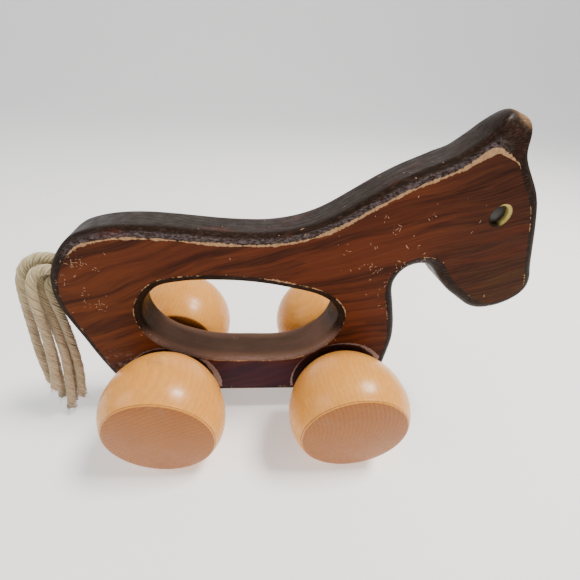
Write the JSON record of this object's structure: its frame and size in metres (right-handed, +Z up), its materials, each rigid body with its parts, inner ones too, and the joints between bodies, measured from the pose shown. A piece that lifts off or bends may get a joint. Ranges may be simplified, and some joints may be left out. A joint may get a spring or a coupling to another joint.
{
  "type": "push-along wooden horse",
  "caption": "Wooden toy horse cut from one thick board, with a hand hole for a grip, ball wheels on dowel axles and a cord tail.",
  "frame": {"origin": "on the floor under the middle of the board, halfway between rump and nose and on the board's middle plane", "axes": "+X towards the nose, +Y towards the horse's left side along the axles, +Z up"},
  "size_m": [0.2902, 0.1356, 0.1743],
  "materials": {
    "stained_board": "dark stained softwood under worn satin varnish",
    "ball_wheel": "clear varnished maple, satin",
    "dowel": "bare hardwood dowel",
    "eye_plug": "black stained, worn satin",
    "tail_cord": "twisted jute-like cord, matt and hairy"
  },
  "bodies": {
    "horse": {"body": "stained_board", "eye_right": "eye_plug", "eye_left": "eye_plug", "tail_cord_1": "tail_cord", "tail_cord_2": "tail_cord", "tail_cord_3": "tail_cord", "tail_cord_4": "tail_cord", "tail_cord_5": "tail_cord", "tail_cord_6": "tail_cord"},
    "rear_wheelset": {"rear_axle": "dowel", "rear_wheel_right": "ball_wheel", "rear_wheel_left": "ball_wheel"},
    "front_wheelset": {"front_axle": "dowel", "front_wheel_right": "ball_wheel", "front_wheel_left": "ball_wheel"}
  },
  "joints": [
    {"name": "rear_wheels_roll", "type": "hinge", "parent": "horse", "child": "rear_wheelset", "pos_m": [-0.076, 0, 0.035], "axis": [0, 1, 0], "continuous": true},
    {"name": "front_wheels_roll", "type": "hinge", "parent": "horse", "child": "front_wheelset", "pos_m": [0.0317, 0, 0.035], "axis": [0, 1, 0], "continuous": true}
  ]
}
